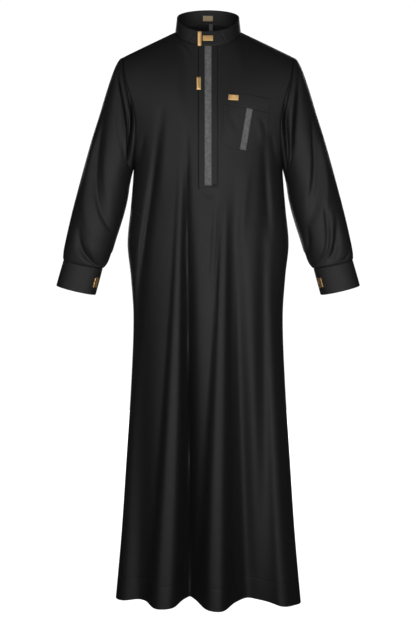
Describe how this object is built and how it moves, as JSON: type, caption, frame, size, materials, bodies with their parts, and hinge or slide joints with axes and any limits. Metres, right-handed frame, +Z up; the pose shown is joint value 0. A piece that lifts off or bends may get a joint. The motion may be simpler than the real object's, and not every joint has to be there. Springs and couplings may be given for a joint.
{
  "type": "thobe",
  "caption": "Hollow, filled-out ankle-length black thobe with stand collar, taped front placket, breast pocket, long cuffed sleeves and small gold metal trims.",
  "frame": {"origin": "centre line of the neck, level with the high points of the shoulders, where the wearer holds the garment up", "axes": "+Z up, towards the collar; -Y is the garment's front; +X is the wearer's left, where the breast pocket is"},
  "size_m": [0.7432, 0.2914, 1.4652],
  "materials": {
    "black_cloth": "satin-faced black suiting, plain and matt-smooth",
    "grey_tape": "finely textured grey woven tape",
    "gold_metal": "polished warm gold",
    "tan_label": "woven tan and dull gold"
  },
  "bodies": {
    "root": {"front_panel": "black_cloth", "back_panel": "black_cloth", "sleeve_left": "black_cloth", "sleeve_right": "black_cloth", "cuff_left": "black_cloth", "cuff_right": "black_cloth", "collar": "black_cloth", "placket": "black_cloth", "placket_tape": "grey_tape", "chest_pocket": "black_cloth", "chest_pocket_hem": "black_cloth", "chest_pocket_tape": "grey_tape", "side_pocket_welt_left": "black_cloth", "side_pocket_welt_right": "black_cloth", "collar_bar": "gold_metal", "collar_plate": "gold_metal", "placket_bar": "gold_metal", "pocket_plate": "gold_metal", "cuff_plate_left": "gold_metal", "cuff_plate_right": "gold_metal", "neck_label": "tan_label", "neck_loop": "grey_tape"}
  },
  "joints": []
}
